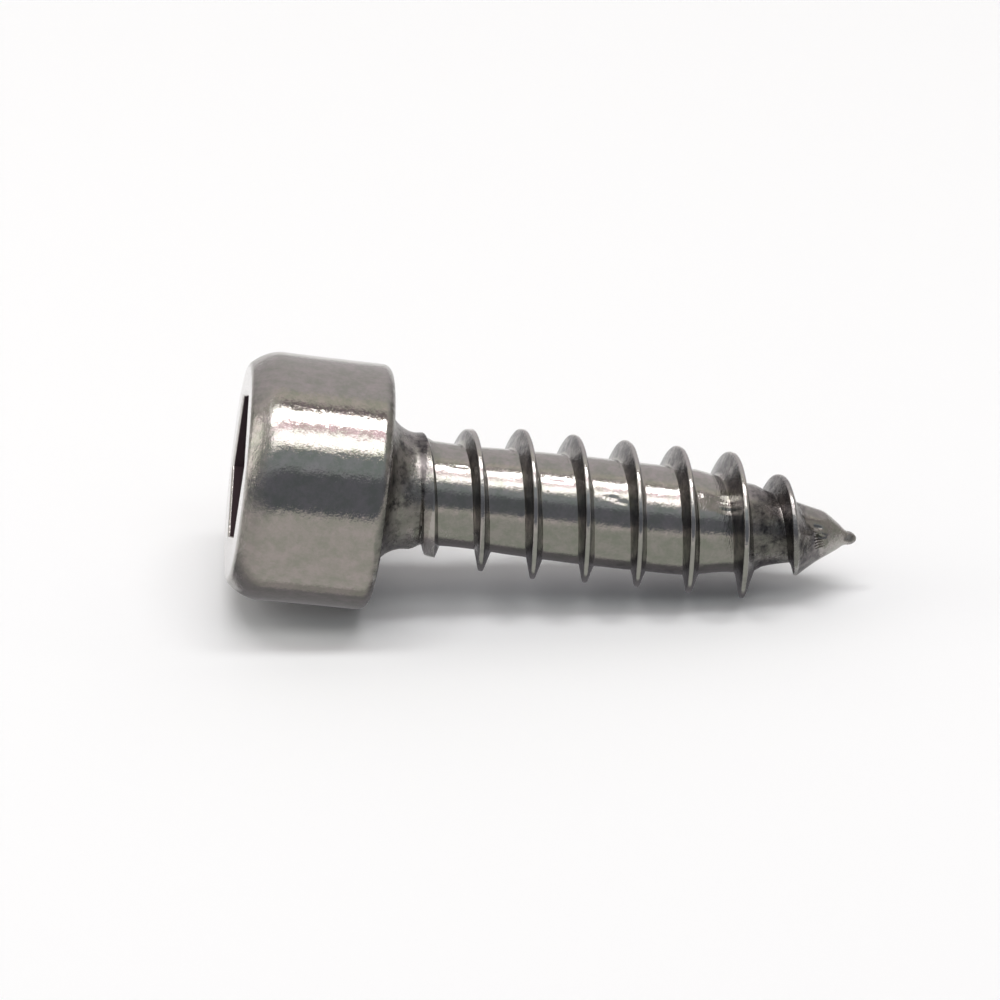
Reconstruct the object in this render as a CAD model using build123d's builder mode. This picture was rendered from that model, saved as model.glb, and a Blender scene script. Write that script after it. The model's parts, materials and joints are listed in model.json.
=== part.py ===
from build123d import *
from math import atan, ceil, degrees, radians, tan
import os

os.makedirs("parts", exist_ok=True)

# Sizes in millimetres, angles in degrees. The screw is made upright, head down: its
# axis is Z, the bearing face under the head is at Z = 0, the head is below it and the
# point above. The last block lays it down as it comes to rest.

# Cylinder head, cold headed, with a rolled-over crown edge
headDia = 7.0
headHeight = 4.05
crownFaceDia = 6.1
crownRound = 0.88
bearingRound = 0.35

# Hexagon socket, punched a little off the head's axis
keySize = 4.0
socketDepth = 2.0
socketFloorDrop = 0.4
socketShift = 0.17
socketEdgeBreak = 0.08

# Plain shank, flared into the head, and the core that carries the thread
shankDia = 3.3
shankLength = 1.12
neckFillet = 0.95
rootDia = 3.0
taperStart = 9.0
taperAngle = 24.0

# Point: a steep collar and a cone with a small blunt nib
lengthUnderHead = 13.79
collarAngle = 86.4
collarDia = 1.64
pointAngle = 69.2
nibDia = 0.38
nibRound = 0.1

# Spaced tapping thread, right-hand: a tall narrow ridge on a bare core
pitch = 1.5
crestDia = 4.2
crestFlat = 0.16
flankAngle = 42.0
fullThreadEnd = 10.6
crestTaperAngle = 56.8
taperTurns = 1.2
runOutStart = 0.85
runOutAngle = 21.0
ridgeBaseDia = 1.2
taperBaseDia = 2.1
flankOverlap = 0.1

# Angle about the axis at which the full thread ends
threadTurn = 264.0

# How it lies: turned about its own axis, and down on head rim and thread crest
lyingTurn = 28.0

headRadius = headDia / 2
shankRadius = shankDia / 2
rootRadius = rootDia / 2
crestRadius = crestDia / 2
nibRadius = nibDia / 2
crownFaceRadius = crownFaceDia / 2
clear = pitch


def slope(fullAngle):
    return tan(radians(fullAngle / 2))


nibHeight = lengthUnderHead - nibRadius / slope(pointAngle)
collarHeight = lengthUnderHead - collarDia / 2 / slope(pointAngle)
clearRadius = crestRadius + clear
clearHeight = collarHeight - (clearRadius - collarDia / 2) / slope(collarAngle)


# Axial section of the thread ridge. Its flanks run on a little below the root, where
# the core covers them.
flankFoot = rootRadius - flankOverlap
ridgeWidth = crestFlat + 2 * (crestRadius - flankFoot) * slope(flankAngle)


def ridgeSection(baseRadius):
    return Polyline(
        (baseRadius, -ridgeWidth / 2),
        (flankFoot, -ridgeWidth / 2),
        (crestRadius, -crestFlat / 2),
        (crestRadius, crestFlat / 2),
        (flankFoot, ridgeWidth / 2),
        (baseRadius, ridgeWidth / 2),
        close=True,
    )


# One full turn, and the last one and a bit, which winds in on a cone
with BuildPart() as ridgeTurn:
    with BuildLine() as turnPath:
        Helix(pitch, pitch, rootRadius)
    with BuildSketch(Plane.XZ):
        with BuildLine():
            ridgeSection(ridgeBaseDia / 2)
        make_face()
    sweep(path=turnPath.line, is_frenet=True)

with BuildPart() as ridgeTaper:
    with BuildLine() as taperPath:
        Helix(pitch, taperTurns * pitch, rootRadius, cone_angle=-crestTaperAngle / 2)
    with BuildSketch(Plane.XZ):
        with BuildLine():
            ridgeSection(taperBaseDia / 2)
        make_face()
    sweep(path=taperPath.line, is_frenet=True)

# The whole ridge: its first turn grows out of the shank, low and blunt, along a slim cone
turnCount = ceil((fullThreadEnd - runOutStart) / pitch)
fullTurns = [Location((0, 0, fullThreadEnd - (turn + 1) * pitch)) for turn in range(turnCount)]
with BuildPart() as ridge:
    with Locations(*fullTurns):
        add(ridgeTurn.part)
    with Locations((0, 0, fullThreadEnd)):
        add(ridgeTaper.part)
    with BuildSketch(Plane.XZ):
        with BuildLine():
            rise = slope(runOutAngle)
            Polyline(
                (shankRadius - (runOutStart + clear) * rise, -clear),
                (clearRadius, runOutStart + (clearRadius - shankRadius) / rise),
                (clearRadius, -clear),
                close=True,
            )
        make_face()
    revolve(axis=Axis.Z, mode=Mode.SUBTRACT)

with BuildPart() as upright:
    # Head, shank and core turned from one section
    with BuildSketch(Plane.XZ) as blankSection:
        with BuildLine():
            crownFace = Line((0, -headHeight), (crownFaceRadius, -headHeight))
            barrel = Line((headRadius, -headHeight + crownRound), (headRadius, 0))
            TangentArc(barrel @ 0, crownFace @ 1, tangent=(0, -1))
            Polyline(
                barrel @ 1,
                (shankRadius, 0),
                (shankRadius, shankLength),
                (rootRadius, shankLength + shankRadius - rootRadius),
                (rootRadius, taperStart),
                (rootRadius - (lengthUnderHead - taperStart) * slope(taperAngle), lengthUnderHead),
                (0, lengthUnderHead),
                crownFace @ 0,
            )
        make_face()
    revolve(axis=Axis.Z)
    bearingPlaneEdges = edges().filter_by_position(Axis.Z, 0, 0).sort_by(SortBy.RADIUS)
    fillet(bearingPlaneEdges[-1], bearingRound)
    fillet(edges().filter_by_position(Axis.Z, 0, 0).sort_by(SortBy.RADIUS)[0], neckFillet)

    # The thread stands on the core, and one pointing cut trims both to the cone
    with Locations(Rotation(0, 0, threadTurn)):
        add(ridge.part)
    with BuildSketch(Plane.XZ) as pointing:
        with BuildLine():
            nibSide = Line((nibRadius, lengthUnderHead - nibRound), (nibRadius, nibHeight))
            nibEnd = (nibRadius - nibRound, lengthUnderHead)
            TangentArc(nibSide @ 0, nibEnd, tangent=(0, 1))
            Polyline(
                nibSide @ 1,
                (collarDia / 2, collarHeight),
                (clearRadius, clearHeight),
                (clearRadius, lengthUnderHead + clear),
                (nibRadius - nibRound, lengthUnderHead + clear),
                nibEnd,
            )
        make_face()
    revolve(axis=Axis.Z, mode=Mode.SUBTRACT)

    # Hexagon socket with a shallow dished floor
    socketPlane = Plane(origin=(0, socketShift, -headHeight))
    with BuildSketch(socketPlane):
        RegularPolygon(keySize / 2, 6, major_radius=False)
    extrude(amount=socketDepth, mode=Mode.SUBTRACT)
    mouth = edges().filter_by_position(Axis.Z, -headHeight, -headHeight).filter_by(GeomType.LINE)
    chamfer(mouth, socketEdgeBreak)
    with BuildSketch(Plane.XZ.offset(-socketShift)):
        with BuildLine():
            Polyline(
                (0, socketDepth - headHeight),
                (keySize / 2, socketDepth - headHeight),
                (0, socketDepth + socketFloorDrop - headHeight),
                close=True,
            )
        make_face()
    revolve(axis=Axis((0, socketShift, 0), (0, 0, 1)), mode=Mode.SUBTRACT)

# Laid down: it rests on the head's rim and on the crest that meets the floor first,
# with the floor at Z = 0 and the middle of its outline over the origin
def crestAt(height):
    return crestRadius - max(0, height - fullThreadEnd) * slope(crestTaperAngle)


belowAxis = (270 + lyingTurn - threadTurn) / 360
crestHeights = [fullThreadEnd + (turn + belowAxis) * pitch for turn in range(-turnCount, 2)]
lyingTilt = min(
    degrees(atan((headRadius - crestAt(height)) / (height + crestFlat / 2 + bearingRound)))
    for height in crestHeights
)
lyingTurned = Rotation(0, lyingTilt, 0) * Rotation(-lyingTurn, 0, 0)
laid = Plane(Location(lyingTurned) * Plane.YZ.location)
rough = (laid.location * upright.part).bounding_box()
laid.origin = (-rough.center().X, -rough.center().Y, -rough.min.Z)

with BuildPart(laid) as screw:
    add(upright.part)

screw.part.label = "socket_head_screw"
export_step(screw.part, "parts/socket_head_screw.step")
print("laid origin", laid.origin, "axis", laid.z_dir, "tilt", round(lyingTilt, 3))
print("volume mm3", round(screw.part.volume, 3), "valid", screw.part.is_valid)
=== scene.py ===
import json
import math

import bpy
import numpy as np
from mathutils import Matrix, Vector


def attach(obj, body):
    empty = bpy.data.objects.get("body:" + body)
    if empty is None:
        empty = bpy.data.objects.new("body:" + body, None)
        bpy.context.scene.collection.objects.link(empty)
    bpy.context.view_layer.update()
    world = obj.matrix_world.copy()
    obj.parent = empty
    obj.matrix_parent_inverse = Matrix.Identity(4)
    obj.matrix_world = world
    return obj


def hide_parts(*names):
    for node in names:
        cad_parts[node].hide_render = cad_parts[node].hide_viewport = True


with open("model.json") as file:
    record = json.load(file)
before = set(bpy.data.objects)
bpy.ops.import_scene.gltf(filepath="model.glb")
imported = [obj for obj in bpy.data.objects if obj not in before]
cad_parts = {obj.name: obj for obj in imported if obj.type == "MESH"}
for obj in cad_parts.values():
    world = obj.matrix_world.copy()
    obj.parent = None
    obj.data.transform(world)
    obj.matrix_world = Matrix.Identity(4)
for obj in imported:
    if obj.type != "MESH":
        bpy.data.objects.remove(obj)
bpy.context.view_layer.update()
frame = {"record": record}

mm = 0.001


def hexColour(code, alpha=1.0):
    # sRGB hex to the linear values that Blender works in
    parts = [int(code[i:i + 2], 16) / 255 for i in (1, 3, 5)]
    linear = [c / 12.92 if c <= 0.04045 else ((c + 0.055) / 1.055) ** 2.4 for c in parts]
    return (*linear, alpha)


def addNode(tree, kind, settings=None, inputs=None):
    # settings go on the node; inputs are plain values or another node's output socket
    node = tree.nodes.new(kind)
    for name, value in (settings or {}).items():
        setattr(node, name, value)
    for name, value in (inputs or {}).items():
        socket = node.inputs[name]
        if isinstance(value, bpy.types.NodeSocket):
            tree.links.new(value, socket)
        else:
            socket.default_value = value
    return node


def newMaterial(name):
    material = bpy.data.materials.new(name)
    material.use_nodes = True
    material.node_tree.nodes.clear()
    return material


def softMax(a, b, width):
    return 0.5 * (a + b + np.sqrt((a - b) ** 2 + width ** 2))


def softMin(a, b, width):
    return 0.5 * (a + b - np.sqrt((a - b) ** 2 + width ** 2))


mounts = {mount["name"]: mount for mount in frame["record"]["mounts"]}
seatPoint = Vector(mounts["head_seat"]["pos_m"])
screwAxis = Vector(mounts["head_seat"]["axis"]).normalized()
rolledTurn = math.radians(28.0)      # how far it lies turned about its own axis
levelSide = Vector((0, 1, 0))
uprightSide = screwAxis.cross(levelSide).normalized()
sideAxis = levelSide * math.cos(rolledTurn) - uprightSide * math.sin(rolledTurn)
riseAxis = uprightSide * math.cos(rolledTurn) + levelSide * math.sin(rolledTurn)


screwShape = {
    "headRadius": 3.5, "headHeight": 4.05, "crownDrop": 0.44, "crownRound": 0.95,
    "crownEdge": 0.07, "bearingRound": 0.31,
    "keySize": 4.0, "socketDepth": 2.0, "socketFloorDrop": 0.4, "socketShift": 0.17,
    "socketEdgeBreak": 0.08,
    "crownPower": 2.1, "crownSwell": 0.03, "crownFlare": 0.02,
    "shankRadius": 1.65, "shankLength": 1.06, "shankSlope": 0.7, "neckFillet": 0.95,
    "rootRadius": 1.5,
    "taperStart": 9.0, "taperAngle": 24.0,
    "lengthUnderHead": 13.79, "collarAngle": 86.4, "collarRadius": 0.82,
    "pointAngle": 69.2, "nibRadius": 0.20,
    "pitch": 1.5, "crestRadius": 2.1, "crestFlat": 0.14, "flankAngle": 31.0,
    "fullThreadEnd": 10.6, "crestTaperAngle": 56.8, "fadeStart": 12.1, "fadeSlope": 0.3,
    "leanStart": 11.45, "leanLength": 0.35, "leanSlope": 0.8,
    "threadPhase": 0.5, "runOutStart": 0.85, "runOutAngle": 21.0, "bluntEnd": 2.7,
}

# What makes it a real, slightly uneven screw. A bump is its height, its place along
# the screw and its length; turns are degrees round it.
screwWear = {
    "crestSag": 0.07, "crestSagPlace": 8.1, "crestSagLength": 1.7,
    "crestWaver": 0.012, "skinWaver": 0.004,
    "crestBelly": (0.06, 3.0, 2.2), "crestDip": (-0.06, 11.35, 0.2),
    "coreBumps": [(-0.045, 2.5, 1.2), (0.015, 6.0, 1.0), (0.09, 10.65, 0.4)],
    "bellyDepth": 0.085, "bellyTurn": 298.0,
    "bellyStart": 2.5, "bellyRise": 4.5, "bellyEnd": 11.5, "bellyFall": 1.2,
    "barrelSwell": 0.04, "creep": 0.04, "creepStart": 9.0, "creepLength": 1.2,
    "dentCount": 90, "dentDepth": 0.010, "dentSize": 0.16,
    "seed": 11,
}

# Nicks from the bin: place along and degrees round, size along and round, depth
nicks = [
    (3.25, 143.0, 0.05, 0.10, 0.020), (3.42, 148.0, 0.04, 0.12, 0.020),
    (6.48, 164.0, 0.10, 0.07, 0.035), (6.72, 168.0, 0.08, 0.06, 0.030),
    (9.40, 160.0, 0.07, 0.10, 0.030), (9.58, 152.0, 0.08, 0.07, 0.030),
    (9.72, 163.0, 0.07, 0.09, 0.030), (9.80, 147.0, 0.08, 0.08, 0.020),
    (2.10, 146.0, 0.16, 0.03, 0.010), (4.85, 152.0, 0.30, 0.03, 0.012),
    (7.90, 150.0, 0.30, 0.03, 0.008), (12.50, 164.5, 0.11, 0.15, 0.070),
    (12.55, 183.0, 0.12, 0.08, 0.040), (-3.52, 226.6, 0.035, 0.13, 0.035),
]

around = 252                   # columns round the screw, a multiple of 6 for the socket


def waver(along, angle, seed, roughness):
    # smooth unevenness that closes on itself round the screw, about -1 to 1
    rng = np.random.default_rng(seed)
    total = np.zeros(np.broadcast(along, angle).shape)
    weight = 0
    for order in range(1, 13):
        turns = rng.integers(0, 2 + order)
        rate = rng.uniform(0.4, 1.6) * order * roughness
        phase, lean = rng.uniform(0, 2 * np.pi, 2)
        size = 1 / order ** 0.5
        total = total + size * np.sin(rate * along + phase) * np.cos(turns * angle + lean)
        weight += size * 0.5
    return total / weight


dentPlan = np.random.default_rng(screwWear["seed"])
dents = [
    (dentPlan.uniform(-3.9, 12.6), dentPlan.uniform(0, 2 * np.pi),
     screwWear["dentSize"] * dentPlan.uniform(0.5, 1.5), dentPlan.uniform(0.3, 1.0))
    for _ in range(screwWear["dentCount"])
]


def dentDepth(along, angle, radius):
    depth = np.zeros(np.broadcast(along, angle).shape)
    for place, turn, size, share in dents:
        arc = (np.mod(angle - turn + np.pi, 2 * np.pi) - np.pi) * radius
        depth = depth + share * np.exp(-((along - place) ** 2 + arc ** 2) / size ** 2)
    depth = screwWear["dentDepth"] * np.minimum(depth, 1.5)
    for place, turn, wide, high, deep in nicks:
        arc = (np.mod(angle - math.radians(turn) + np.pi, 2 * np.pi) - np.pi) * radius
        depth = depth + deep * np.exp(-((along - place) / wide) ** 2 - (arc / high) ** 2)
    return depth


def bump(along, height, place, length):
    return height * np.exp(-((along - place) / length) ** 2)


def slope(name):
    return math.tan(math.radians(screwShape[name] / 2))


def coreRadius(along):
    s = screwShape
    core = s["rootRadius"] - softMax(along - s["taperStart"], 0, 0.2) * slope("taperAngle")
    for coreBump in screwWear["coreBumps"]:
        core = core + bump(along, *coreBump)
    shank = s["shankRadius"] - s["shankSlope"] * np.maximum(along - s["shankLength"], 0)
    neck = s["neckFillet"]
    inside = np.clip(neck - along, 0, neck)
    flare = neck - np.sqrt(neck ** 2 - inside ** 2)
    return softMax(core, shank, 0.03) + flare


def coneRadius(along):
    # the pointed end: a steep collar and a cone
    s = screwShape
    cone = (s["lengthUnderHead"] - along) * slope("pointAngle")
    collarPlace = s["lengthUnderHead"] - s["collarRadius"] / slope("pointAngle")
    collar = s["collarRadius"] + (collarPlace - along) * slope("collarAngle")
    return softMax(cone, collar, 0.04)


def crestRadiusAt(centre, angle):
    # centre: how far along the middle of the ridge lies
    s, w = screwShape, screwWear
    sag = w["crestSag"] * np.exp(-((centre - w["crestSagPlace"]) / w["crestSagLength"]) ** 2 / 2)
    crest = s["crestRadius"] - sag * np.maximum(-np.sin(angle), 0) ** 1.5
    crest = crest + bump(centre, *w["crestBelly"]) * np.maximum(-np.sin(angle), 0)
    crest = crest + bump(centre, *w["crestDip"])
    crest = crest + w["crestWaver"] * waver(centre, angle, 5, 3.0)
    crest = crest - softMax(centre - s["fullThreadEnd"], 0, 0.1) * slope("crestTaperAngle")
    crest = crest - softMax(centre - s["fadeStart"], 0, 0.1) * s["fadeSlope"]
    # the first ridge is blunt, cut off by the run-out; the next only lower for it
    blunt = np.clip(s["bluntEnd"] - centre, 0, 1)
    return crest * blunt + softMin(crest, runOutRadius(centre), 0.02) * (1 - blunt)


def threadCreep(along):
    # the last two ridges stand a hair nearer the point
    w = screwWear
    return w["creep"] * np.clip((along - w["creepStart"]) / w["creepLength"], 0, 1)


def fromCrest(along, angle):
    # axial distance to the middle of the nearest ridge
    s = screwShape
    turns = (along - threadCreep(along) - s["threadPhase"]) / s["pitch"] - angle / (2 * np.pi)
    return (turns - np.round(turns)) * s["pitch"]


def runOutRadius(along):
    s = screwShape
    return s["shankRadius"] + (along - s["runOutStart"]) * slope("runOutAngle")


def ridgeRadius(along, angle):
    s = screwShape
    off = fromCrest(along, angle)
    centre = along - off
    # the last ridge leans over into the point
    lean = np.clip((centre - s["leanStart"]) / s["leanLength"], 0, 1)
    fall = 1 / slope("flankAngle")
    fall = np.where(off > 0, fall + (s["leanSlope"] - fall) * lean, fall)
    ridge = crestRadiusAt(centre, angle) \
        - softMax(np.abs(off) - s["crestFlat"] / 2, 0, 0.02) * fall
    return softMin(ridge, runOutRadius(along), 0.02)


def bodyRadius(along, angle):
    # rolled a little off centre: the core hangs lower along the middle of the thread
    w = screwWear
    belly = np.clip((along - w["bellyStart"]) / w["bellyRise"], 0, 1) \
        * np.clip((w["bellyEnd"] - along) / w["bellyFall"], 0, 1)
    belly = w["bellyDepth"] * belly \
        * np.maximum(np.cos(angle - math.radians(w["bellyTurn"])), 0) ** 2
    radius = softMax(coreRadius(along) + belly, ridgeRadius(along, angle), 0.025)
    radius = softMin(radius, coneRadius(along), 0.03)
    radius = radius - dentDepth(along, angle, 1.6)
    return radius + w["skinWaver"] * waver(along, angle, 9, 2.2)


def buildScrewMesh():
    s = screwShape
    spiralStart, spiralEnd = 0.46, 12.92
    angles = 2 * np.pi * np.arange(around) / around
    points, faces = [], []
    worn, shadeAndSoil, bare, socketShade = [], [], [], []      # the looks of each point, 0 to 1

    def addPoint(place, looks):
        points.append(place)
        worn.append(looks[0])
        shadeAndSoil.append(looks[1])
        bare.append(looks[2])
        socketShade.append(looks[3])

    def addRing(along, radius, shift=0.0, looks=(0, 0, 0, 0)):
        radius = np.broadcast_to(radius, (around,))
        along = np.broadcast_to(along, (around,))
        first = len(points)
        for j in range(around):
            addPoint((along[j], radius[j] * math.cos(angles[j]),
                      radius[j] * math.sin(angles[j]) + shift), looks)
        return list(range(first, first + around))

    def joinRings(a, b):
        for j in range(around):
            k = (j + 1) % around
            faces.append((a[j], a[k], b[k], b[j]))

    def hexRadius(apothem):
        return apothem / np.cos(np.mod(angles, np.pi / 3) - np.pi / 6)

    rings = []
    # socket: dished floor, walls, broken edge
    half = s["keySize"] / 2
    top = -s["headHeight"]
    floorAt = top + s["socketDepth"]
    shift = s["socketShift"]
    # inside paints shade into the socket: a dark, non-metal tone where the recess lies in shade
    inside, brokenEdge, endFace = (1, 1, 0, 1), (0.3, 0, 0.5, 0), (0.5, 0, 1, 0)
    addPoint((floorAt + s["socketFloorDrop"], 0, shift), inside)
    for part in (0.06, 0.2, 0.4, 0.6, 0.8, 0.99):
        rings.append(addRing(floorAt + s["socketFloorDrop"] * (1 - part), half * part, shift,
                             inside))
    rings.append(addRing(floorAt, hexRadius(half) * 0.995, shift, inside))
    mouth = top + s["socketEdgeBreak"]
    for depth in np.linspace(floorAt - 0.01, mouth, 7):
        rings.append(addRing(depth, hexRadius(half), shift, inside))
    for turn in np.linspace(0, np.pi / 2, 5)[1:]:
        rings.append(addRing(top + s["socketEdgeBreak"] * (1 - math.sin(turn)),
                             hexRadius(half + s["socketEdgeBreak"] * (1 - math.cos(turn))), shift,
                             brokenEdge))
    # end face of the head, with its edge rounded over
    inner = hexRadius(half + s["socketEdgeBreak"])
    outer = s["headRadius"] - s["crownDrop"] - s["crownEdge"]
    for part in (0.15, 0.4, 0.7, 0.9, 1.0):
        rings.append(addRing(top, inner * (1 - part) + outer * part, shift * (1 - part),
                             endFace))
    edge = s["crownEdge"]
    # the rolled edge gets painted sheen, paler towards the end face
    for out, down, share in ((0.45, 0.04, 0.8), (0.85, 0.16, 0.5), (1.15, 0.36, 0.2)):
        rings.append(addRing(top + edge * down, outer + edge * out, 0, (0.5, 0, share, 0)))
    # rolled-over crown
    for part in np.linspace(0.93, 0, 26):
        along = top + s["crownRound"] * (1 - part)
        radius = s["headRadius"] + s["crownSwell"] * (1 - part) ** 2 + s["crownFlare"] * part \
            - s["crownDrop"] * part ** s["crownPower"]
        uneven = part * 0.006 * waver(along * 5, angles, 21, 4.0)
        rings.append(addRing(along, radius + uneven - 0.5 * dentDepth(along, angles, 3.5), 0,
                             (0.6 * min(1, 2 * part), 0.25 * part, 0, 0)))
    # barrel
    for along in np.linspace(top + s["crownRound"], -s["bearingRound"], 40)[1:]:
        skin = 0.0022 * waver(along, angles, 31, 1.3)
        swell = screwWear["barrelSwell"] * (along / top) ** 2
        rings.append(addRing(along, s["headRadius"] + swell + skin
                             - 0.5 * dentDepth(along, angles, 3.5)))
    # rounded rim, bearing face and neck fillet
    # darker towards the bearing face and the neck: painted shade in the corner under the head
    rim = s["bearingRound"]
    for turn in np.linspace(0, np.pi / 2, 11)[1:]:
        rings.append(addRing(-rim + rim * math.sin(turn),
                             s["headRadius"] - rim * (1 - math.cos(turn)),
                             0, (0.6 * math.sin(turn) + 0.2, 0.6 * math.sin(turn), 0, 0)))
    neck = s["neckFillet"]
    for radius in (3.0, 2.8, 2.65):
        rings.append(addRing(0.0, radius, 0, (0.9, 0.8, 0, 0)))
    turn = 0
    while neck * (1 - math.cos(turn)) < spiralStart - 0.03:
        along = neck * (1 - math.cos(turn))
        uneven = 0.012 * waver(along * 3, angles, 41, 2.0) * math.sin(turn)
        rings.append(addRing(along, s["shankRadius"] + neck * (1 - math.sin(turn)) + uneven,
                             0, (0.9, 0.65, 0, 0)))
        turn += math.radians(5)
    for j in range(around):
        faces.append((0, rings[0][(j + 1) % around], rings[0][j]))
    for a, b in zip(rings, rings[1:]):
        joinRings(a, b)

    # thread: rows that climb with the helix, so the crest and the flanks stay crisp
    flank = (s["crestRadius"] - s["rootRadius"]) * slope("flankAngle")
    flat = s["crestFlat"] / 2
    side = [flat * 0.5, flat - 0.02, flat - 0.007, flat + 0.004, flat + 0.015, flat + 0.035,
            flat + 0.08, flat + 0.15, flat + flank - 0.02, flat + flank, flat + flank + 0.02,
            flat + flank + 0.06, 0.48, 0.6]
    offsets = sorted([-d for d in side] + [0.0] + side + [s["pitch"] / 2])
    perTurn = len(offsets)
    firstRow = addRing(spiralStart, bodyRadius(np.full(around, spiralStart), angles), 0,
                       (0.8, 0.5, 0, 0))
    joinRings(rings[-1], firstRow)
    columns = []
    for j in range(around + 1):
        angle = 2 * np.pi * j / around
        lean = s["pitch"] * j / around
        rows = {}
        low = int((spiralStart - lean - s["threadPhase"]) / s["pitch"]) - 2
        high = int((spiralEnd - lean - s["threadPhase"]) / s["pitch"]) + 2
        for turn in range(low, high + 1):
            for number, offset in enumerate(offsets):
                along = s["threadPhase"] + turn * s["pitch"] + lean + offset
                along += threadCreep(along)
                if spiralStart + 0.012 < along < spiralEnd - 0.012:
                    rows[turn * perTurn + number] = along
        columns.append(rows)
    # column `around` is column 0 one turn on
    columnPoints = []
    for j in range(around):
        keys = sorted(columns[j])
        alongs = np.array([columns[j][key] for key in keys])
        radii = bodyRadius(alongs, np.full(len(keys), angles[j]))
        first = len(points)
        crests = np.minimum(crestRadiusAt(alongs - fromCrest(alongs, angles[j]), angles[j]),
                            runOutRadius(alongs))
        for along, radius, core, crest in zip(alongs, radii, coreRadius(alongs), crests):
            climb = (radius - core) / max(0.1, crest - core)
            # flankShare: painted shade, darker down the flanks between the ridges
            flankShare = max(0.0, min(1.0, climb * 8 - 0.3, (1 - climb) * 12))
            # painted highlight: the crests get a paler tone than the rest
            crestSheen = max(0.0, min(1.0, (climb - 0.9) * 15)) * (along > 1.4)
            # rougher and darker at the neck, where the dark is painted shade under the head, and
            # darker on the last turns, less so on the cone
            early = max(0.0, min(1.0, (1.5 - along) / 0.4))
            late = max(0.0, min(1.0, (along - 10.3) / 0.4))
            late *= 1 - 0.7 * max(0.0, min(1.0, (along - 11.9) / 0.3))
            addPoint((along, radius * math.cos(angles[j]), radius * math.sin(angles[j])),
                     (max(0.25 + 0.3 * flankShare, 0.8 * early, 0.7 * late),
                      max(flankShare, 0.45 * early, 0.75 * late), 0.3 * crestSheen, 0))
        columnPoints.append({key: first + n for n, key in enumerate(keys)})
    columnPoints.append({key - perTurn: index for key, index in columnPoints[0].items()})
    lastRow = addRing(spiralEnd, bodyRadius(np.full(around, spiralEnd), angles), 0,
                      (0.7, 0.2, 0, 0))
    for j in range(around):
        k = (j + 1) % around
        left, right = columnPoints[j], columnPoints[j + 1]
        shared = sorted(set(left) & set(right))
        for a, b in zip(shared, shared[1:]):
            faces.append((left[a], right[a], right[b], left[b]))
        lowLeft = [left[key] for key in sorted(left) if key < shared[0]]
        lowRight = [right[key] for key in sorted(right) if key < shared[0]]
        faces.append(tuple([firstRow[j], firstRow[k]] + lowRight
                           + [right[shared[0]], left[shared[0]]] + lowLeft[::-1]))
        highLeft = [left[key] for key in sorted(left) if key > shared[-1]]
        highRight = [right[key] for key in sorted(right) if key > shared[-1]]
        faces.append(tuple([left[shared[-1]], right[shared[-1]]] + highRight
                           + [lastRow[k], lastRow[j]] + highLeft[::-1]))

    # point: the last of the cone and the blunt nib
    tip = s["lengthUnderHead"]
    nibStart = tip - s["nibRadius"] / slope("pointAngle")
    last = lastRow
    nibWaver = 1 + 0.04 * np.sin(2 * angles + 0.6) + 0.05 * np.sin(5 * angles + 2.0)
    for along in np.linspace(spiralEnd, nibStart, 9)[1:]:
        blend = (along - spiralEnd) / (nibStart - spiralEnd)
        radius = bodyRadius(np.full(around, along), angles) * (1 - blend ** 6) \
            + s["nibRadius"] * nibWaver * blend ** 6
        ring = addRing(along, radius, 0, (0.7, 0.15, 0, 0))
        joinRings(last, ring)
        last = ring
    for along, share in ((nibStart + 0.06, 0.97), (nibStart + 0.13, 0.90), (tip - 0.10, 0.76),
                         (tip - 0.06, 0.62), (tip - 0.03, 0.48), (tip - 0.01, 0.32), (tip, 0.15)):
        ring = addRing(along, s["nibRadius"] * nibWaver * share, 0, (0.9, 0.4, 0, 0))
        joinRings(last, ring)
        last = ring
    addPoint((tip, 0, 0), (0.9, 0.4, 0, 0))
    for j in range(around):
        faces.append((last[j], last[(j + 1) % around], len(points) - 1))
    return points, faces, {"worn": worn, "shadeAndSoil": shadeAndSoil, "bare": bare, "socketShade": socketShade}


def buildScrew():
    points, faces, looks = buildScrewMesh()
    mesh = bpy.data.meshes.new("socket_head_screw_skin")
    placed = [seatPoint + (screwAxis * a + sideAxis * b + riseAxis * c) * mm for a, b, c in points]
    mesh.from_pydata([tuple(p) for p in placed], [], faces)
    mesh.validate()
    for name, values in looks.items():
        attribute = mesh.attributes.new(name, "FLOAT", "POINT")
        attribute.data.foreach_set("value", np.array(values, dtype=np.float32))
    alongAttribute = mesh.attributes.new("screwPlace", "FLOAT_VECTOR", "POINT")
    alongAttribute.data.foreach_set("vector", np.array(points, dtype=np.float32).ravel())
    mesh.shade_smooth()
    mesh.set_sharp_from_angle(angle=math.radians(42))
    skin = bpy.data.objects.new("screw_skin", mesh)
    bpy.context.scene.collection.objects.link(skin)
    return skin


# the dark tones paint shade into the thread, the socket and under the head; the pale tone paints
# sheen on the end face, edges and crests
steelLook = {
    "bright": "#b9b2b0", "dull": "#a5a69d", "shadeAndSoil": "#605c5c", "bare": "#e6e4e3",
    "darkTone": "#463a3e", "stainAndShade": "#434144",
    "roughness": 0.065, "wornRoughness": 0.34,
    "grainMm": 0.06, "grainDepth": 0.006, "streakMm": 0.08, "streakDepth": 0.007,
    "speckMm": 0.16, "speckDepth": 0.003, "wornSpeckDepth": 0.016,
    "rippleMm": 0.5, "rippleDepth": 0.006,
}


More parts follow.
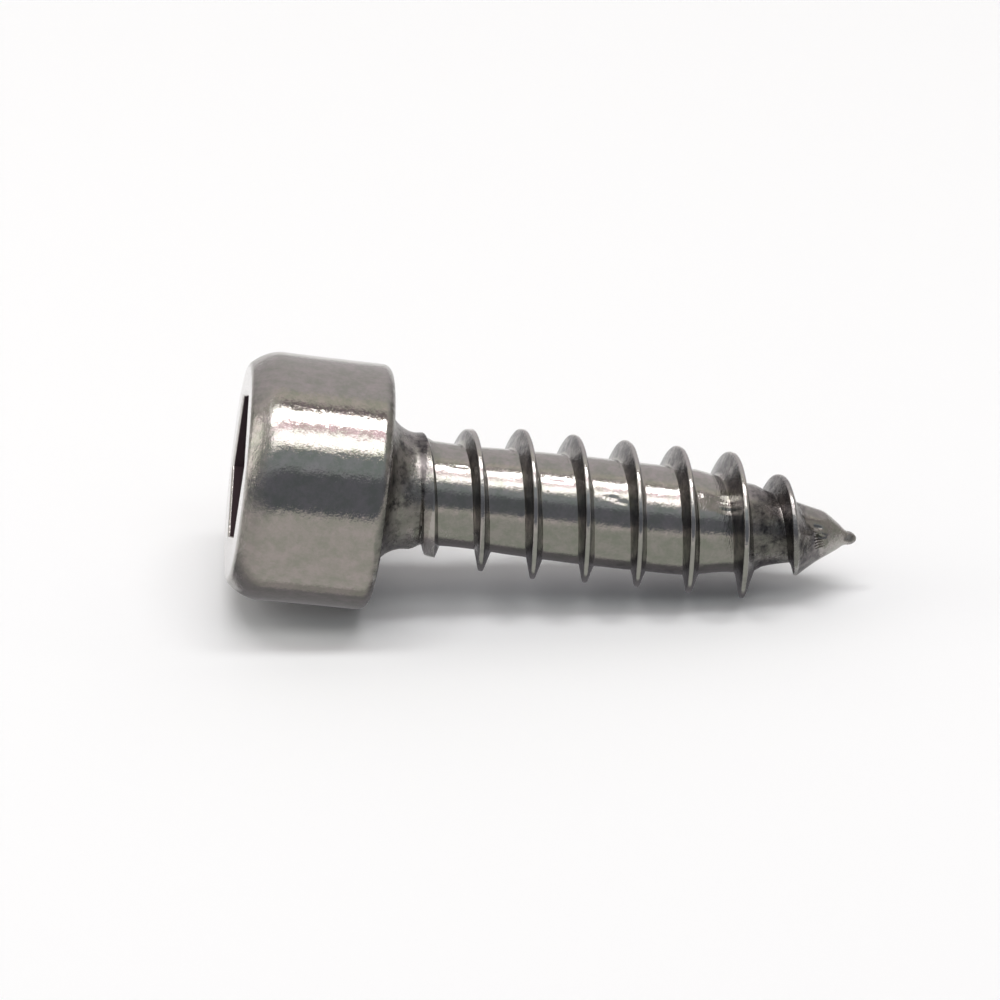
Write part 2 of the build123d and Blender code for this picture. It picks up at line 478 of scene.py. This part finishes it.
def makeSteel():
    # Stainless steel, cold headed, thread rolled and tumbled: bright, with a fine grain left by
    # the tumbling stones and duller worn edges; painted shade darkens the thread flanks, the
    # socket and the neck under the head, and a painted sheen brightens the end face, edges and
    # crests
    material = newMaterial("tumbled_cold_headed_stainless_steel")
    tree = material.node_tree
    look = steelLook

    def attribute(name, output="Fac"):
        return addNode(tree, "ShaderNodeAttribute", {"attribute_name": name}).outputs[output]

    place = attribute("screwPlace", "Vector")
    worn, shadeAndSoil = attribute("worn"), attribute("shadeAndSoil")
    bare, socketShade = attribute("bare"), attribute("socketShade")

    def noise(vector, sizeMm, detail, roughness):
        return addNode(tree, "ShaderNodeTexNoise", {}, {
            "Vector": vector, "Scale": 1 / sizeMm, "Detail": detail,
            "Roughness": roughness}).outputs["Fac"]

    def spread(value, low, high, toLow=0.0, toHigh=1.0):
        return addNode(tree, "ShaderNodeMapRange", {}, {
            "Value": value, "From Min": low, "From Max": high,
            "To Min": toLow, "To Max": toHigh}).outputs["Result"]

    def mix(share, first, second):
        return addNode(tree, "ShaderNodeMix", {"data_type": "RGBA"}, {
            0: share, 6: first, 7: second}).outputs[2]

    def times(first, second):
        return addNode(tree, "ShaderNodeMath", {"operation": "MULTIPLY"}, {
            0: first, 1: second}).outputs["Value"]

    grain = noise(place, look["grainMm"], 4.0, 0.6)
    ripple = noise(place, look["rippleMm"], 3.0, 0.5)
    # forming marks run round the screw: close together along it, long round it
    stretched = addNode(tree, "ShaderNodeVectorMath", {"operation": "MULTIPLY"}, {
        0: place, 1: (1.0, 0.35, 0.35)}).outputs["Vector"]
    streak = noise(stretched, look["streakMm"], 3.0, 0.6)
    patches = noise(place, 0.35, 5.0, 0.65)
    colour = mix(spread(noise(place, 0.4, 7.0, 0.75), 0.38, 0.62),
                 hexColour(look["bright"]), hexColour(look["dull"]))
    # painted shade: a darker tone down the flanks, in the socket and under the head, and darker on
    # the last turns
    darkTone = times(shadeAndSoil, spread(patches, 0.35, 0.6, 0.6, 1.0))
    colour = mix(darkTone, colour, hexColour(look["shadeAndSoil"]))
    # blotchy dark patches inside the same mask: uneven tone, and painted shade where that mask is
    # shade
    stainAndShade = times(spread(shadeAndSoil, 0.1, 0.6), spread(noise(place, 0.3, 6.0, 0.7), 0.46, 0.64))
    colour = mix(stainAndShade, colour, hexColour(look["stainAndShade"]))
    # painted sheen: a paler tone on the end face, the broken edges and the crests
    colour = mix(bare, colour, hexColour(look["bare"]))
    # painted shade: the socket inside gets a dark tone, no metal and rougher
    colour = mix(socketShade, colour, hexColour(look["darkTone"]))
    rough = spread(worn, 0.0, 1.0, look["roughness"], look["wornRoughness"])
    rough = addNode(tree, "ShaderNodeMath", {"operation": "MULTIPLY_ADD"}, {
        0: spread(patches, 0.3, 0.7, -0.05, 0.05), 1: 1.0, 2: rough}).outputs["Value"]
    rough = addNode(tree, "ShaderNodeMath", {"operation": "MULTIPLY_ADD"}, {
        0: socketShade, 1: 0.5, 2: rough}).outputs["Value"]
    normal = addNode(tree, "ShaderNodeBump", {}, {
        "Height": grain, "Strength": spread(worn, 0.0, 1.0, 0.4, 1.0),
        "Distance": look["grainDepth"] * mm}).outputs["Normal"]
    normal = addNode(tree, "ShaderNodeBump", {}, {
        "Height": streak, "Strength": 1.0, "Distance": look["streakDepth"] * mm,
        "Normal": normal}).outputs["Normal"]
    normal = addNode(tree, "ShaderNodeBump", {}, {
        "Height": noise(place, look["speckMm"], 4.0, 0.65), "Strength": 1.0,
        "Distance": spread(worn, 0.3, 1.0, look["speckDepth"] * mm, look["wornSpeckDepth"] * mm),
        "Normal": normal}).outputs["Normal"]
    normal = addNode(tree, "ShaderNodeBump", {}, {
        "Height": ripple, "Strength": 1.0, "Distance": look["rippleDepth"] * mm,
        "Normal": normal}).outputs["Normal"]
    shader = addNode(tree, "ShaderNodeBsdfPrincipled", {}, {
        "Base Color": colour, "Metallic": spread(socketShade, 0.0, 1.0, 1.0, 0.0),
        "Specular IOR Level": 0.0, "Roughness": rough, "Normal": normal})
    addNode(tree, "ShaderNodeOutputMaterial", {}, {"Surface": shader.outputs["BSDF"]})
    return material


screwSkin = buildScrew()
screwSkin.data.materials.append(makeSteel())
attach(screwSkin, "root")
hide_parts("socket_head_screw")
print("screw:", len(screwSkin.data.vertices), "points", len(screwSkin.data.polygons), "faces")


floorLook = {"size": 2.4, "colour": "#f8fafb"}


def makeFloor():
    size = floorLook["size"] / 2
    mesh = bpy.data.meshes.new("floor")
    mesh.from_pydata([(-size, -size, 0), (size, -size, 0), (size, size, 0), (-size, size, 0)],
                     [], [(0, 1, 2, 3)])
    floor = bpy.data.objects.new("floor", mesh)
    bpy.context.scene.collection.objects.link(floor)
    # White card, matt
    material = newMaterial("matt_white_card")
    tree = material.node_tree
    shader = addNode(tree, "ShaderNodeBsdfPrincipled", {}, {
        "Base Color": hexColour(floorLook["colour"]), "Roughness": 0.9,
        "Specular IOR Level": 0.1})
    addNode(tree, "ShaderNodeOutputMaterial", {}, {"Surface": shader.outputs["BSDF"]})
    mesh.materials.append(material)


makeFloor()
print("floor: a matt white card")


tentLook = {"radius": 0.30, "length": 0.60, "boxLength": 0.27, "world": "#a9a7a2"}

# from and to: degrees over the screw, 0 at the front, 90 overhead, 180 at the back
softBoxes = {
    "front_box": {"from": 58.3, "to": 72.5, "level": 2.5},
    "top_box": {"from": 84.0, "to": 91.7, "level": 10.4},
}
cards = {
    "charcoal_card": {"from": -3.3, "to": 34.8, "colour": "#72757c", "radius": 0.062},
    "teal_card": {"from": 35.3, "to": 57.2, "colour": "#a4abaf"},
    "low_cream_card": {"from": 57.3, "to": 58.2, "colour": "#ffe2b8",
                       "level": 1.6, "length": 0.27},
    "pink_card": {"from": 72.8, "to": 83.7, "colour": "#ffe3e9",
                  "level": 1.3, "length": 0.27},
    "high_cream_card": {"from": 92.2, "to": 93.4, "colour": "#ffe2b8",
                        "level": 1.5, "length": 0.27},
    "purple_card": {"from": 93.7, "to": 102.0, "colour": "#8d8288"},
    "green_card": {"from": 102.5, "to": 115.0, "colour": "#dcd8cf"},
    "back_card": {"from": 115.5, "to": 181.0, "colour": "#d3cfd1"},
}
# glowing sheets that show only in the metal: painted reflections of the floor, darker where it
# lies in shade; corners on the floor, left front to right back
paintedReflections = {
    "front_floor_painted_reflection": {"box": (-0.15, -0.10, 0.15, -0.0032), "colour": "#cecac6",
                 "height": 0.00010},
    "under_thread_painted_shade": {"box": (-0.0030, -0.0014, 0.007, 0.0020), "colour": "#6e6c6f",
                  "height": 0.00012},
    "rim_painted_reflection": {"box": (-0.0125, -0.0032, -0.0035, -0.0027), "colour": "#aaa6a3",
                "height": 0.00012},
    "head_front_painted_shade": {"box": (-0.0125, -0.0027, -0.0035, -0.0012), "colour": "#868486",
                  "height": 0.00012},
    "head_back_painted_shade": {"box": (-0.0089, -0.0012, -0.0035, 0.0030), "colour": "#868486",
                 "height": 0.00012},
    "thread_painted_reflection": {"box": (-0.0030, -0.0140, 0.03, -0.0014), "colour": "#b2b4ad",
                   "height": 0.00015},
}
# a pale wall on the left, for the rolled edge of the head
leftWall = {"x": -0.25, "front": -0.06, "back": 0.07, "low": 0.03, "high": 0.28,
            "colour": "#ece8e3", "level": 2.5}
tentMiddle = Vector((0, 0, 0.0035))


def tentDirection(degrees):
    turn = math.radians(degrees)
    return Vector((0, -math.cos(turn), math.sin(turn)))


def makeSoftBox(name, plan):
    middle = (plan["from"] + plan["to"]) / 2
    width = 2 * tentLook["radius"] * math.tan(math.radians(plan["to"] - plan["from"]) / 2)
    data = bpy.data.lights.new(name, "AREA")
    data.shape = "RECTANGLE"
    data.size = tentLook["boxLength"]
    data.size_y = width
    # a card of plain radiance 1 gives off pi watts over each square metre
    data.energy = math.pi * plan["level"] * data.size * data.size_y
    lamp = bpy.data.objects.new(name, data)
    bpy.context.scene.collection.objects.link(lamp)
    direction = tentDirection(middle)
    lamp.location = tentMiddle + direction * tentLook["radius"]
    across = Vector((1, 0, 0))
    lamp.matrix_world = Matrix.Translation(lamp.location) @ Matrix(
        (across, direction.cross(across), direction)).transposed().to_4x4()


def makeCard(name, plan):
    steps = max(2, int((plan["to"] - plan["from"]) / 6))
    half = plan.get("length", tentLook["length"]) / 2
    points, faces = [], []
    for step in range(steps + 1):
        degrees = plan["from"] + (plan["to"] - plan["from"]) * step / steps
        p = tentMiddle + tentDirection(degrees) * plan.get("radius", tentLook["radius"])
        points += [(-half, p.y, max(p.z, 0.0005)), (half, p.y, max(p.z, 0.0005))]
    for step in range(steps):
        a = 2 * step
        faces.append((a, a + 1, a + 3, a + 2))
    return addGlow(name, points, faces, plan["colour"], plan.get("level", 1.0))


def makePaintedReflection(name, plan):
    # a glowing sheet that only reflections see: a painted reflection of the floor, the dark ones
    # of the floor in shade
    left, front, right, back = plan["box"]
    z = plan["height"]
    points = [(left, front, z), (right, front, z), (right, back, z), (left, back, z)]
    paintedSheet = addGlow(name, points, [(0, 1, 2, 3)], plan["colour"], 1.0)
    paintedSheet.visible_diffuse = False
    paintedSheet.visible_shadow = False


def makeWall(plan):
    x, front, back = plan["x"], plan["front"], plan["back"]
    low, high = plan["low"], plan["high"]
    points = [(x, front, low), (x, back, low), (x, back, high), (x, front, high)]
    addGlow("left_card", points, [(0, 1, 2, 3)], plan["colour"], plan["level"])


def addGlow(name, points, faces, colour, level):
    mesh = bpy.data.meshes.new(name)
    mesh.from_pydata(points, [], faces)
    card = bpy.data.objects.new(name, mesh)
    bpy.context.scene.collection.objects.link(card)
    card.visible_camera = False
    # Paper that glows evenly; the sheets seen only in the metal glow as painted reflections
    material = newMaterial(name + "_paper")
    tree = material.node_tree
    glow = addNode(tree, "ShaderNodeEmission", {}, {
        "Color": hexColour(colour), "Strength": level})
    addNode(tree, "ShaderNodeOutputMaterial", {}, {"Surface": glow.outputs["Emission"]})
    mesh.materials.append(material)
    return card


for boxName, boxPlan in softBoxes.items():
    makeSoftBox(boxName, boxPlan)
for cardName, cardPlan in cards.items():
    makeCard(cardName, cardPlan)
for reflectionName, reflectionPlan in paintedReflections.items():
    makePaintedReflection(reflectionName, reflectionPlan)
makeWall(leftWall)

world = bpy.data.worlds.new("studio")
world.use_nodes = True
world.node_tree.nodes.clear()
background = addNode(world.node_tree, "ShaderNodeBackground", {}, {
    "Color": hexColour(tentLook["world"]), "Strength": 1.0})
addNode(world.node_tree, "ShaderNodeOutputWorld", {}, {
    "Surface": background.outputs["Background"]})
bpy.context.scene.world = world
print("light: two soft boxes,", len(cards), "cards,", len(paintedReflections), "mats and a wall")


cameraPlan = {
    "lens": 216.0,
    "place": (-0.0106016, -0.1495422, 0.0844258),
    "forward": (0.055164, 0.876890, -0.477510),
    "right": (0.998438, -0.052711, 0.018542),
}


def makeCamera():
    data = bpy.data.cameras.new("camera")
    data.lens = cameraPlan["lens"]
    data.sensor_width = 36.0
    data.clip_start = 0.01
    data.clip_end = 10.0
    camera = bpy.data.objects.new("camera", data)
    bpy.context.scene.collection.objects.link(camera)
    forward = Vector(cameraPlan["forward"]).normalized()
    right = Vector(cameraPlan["right"])
    right = (right - forward * right.dot(forward)).normalized()
    up = right.cross(forward)
    camera.matrix_world = Matrix.Translation(cameraPlan["place"]) @ Matrix(
        (right, up, -forward)).transposed().to_4x4()
    bpy.context.scene.camera = camera


makeCamera()
print("camera: lens", cameraPlan["lens"], "mm")
bpy.context.scene.view_settings.view_transform = "Standard"
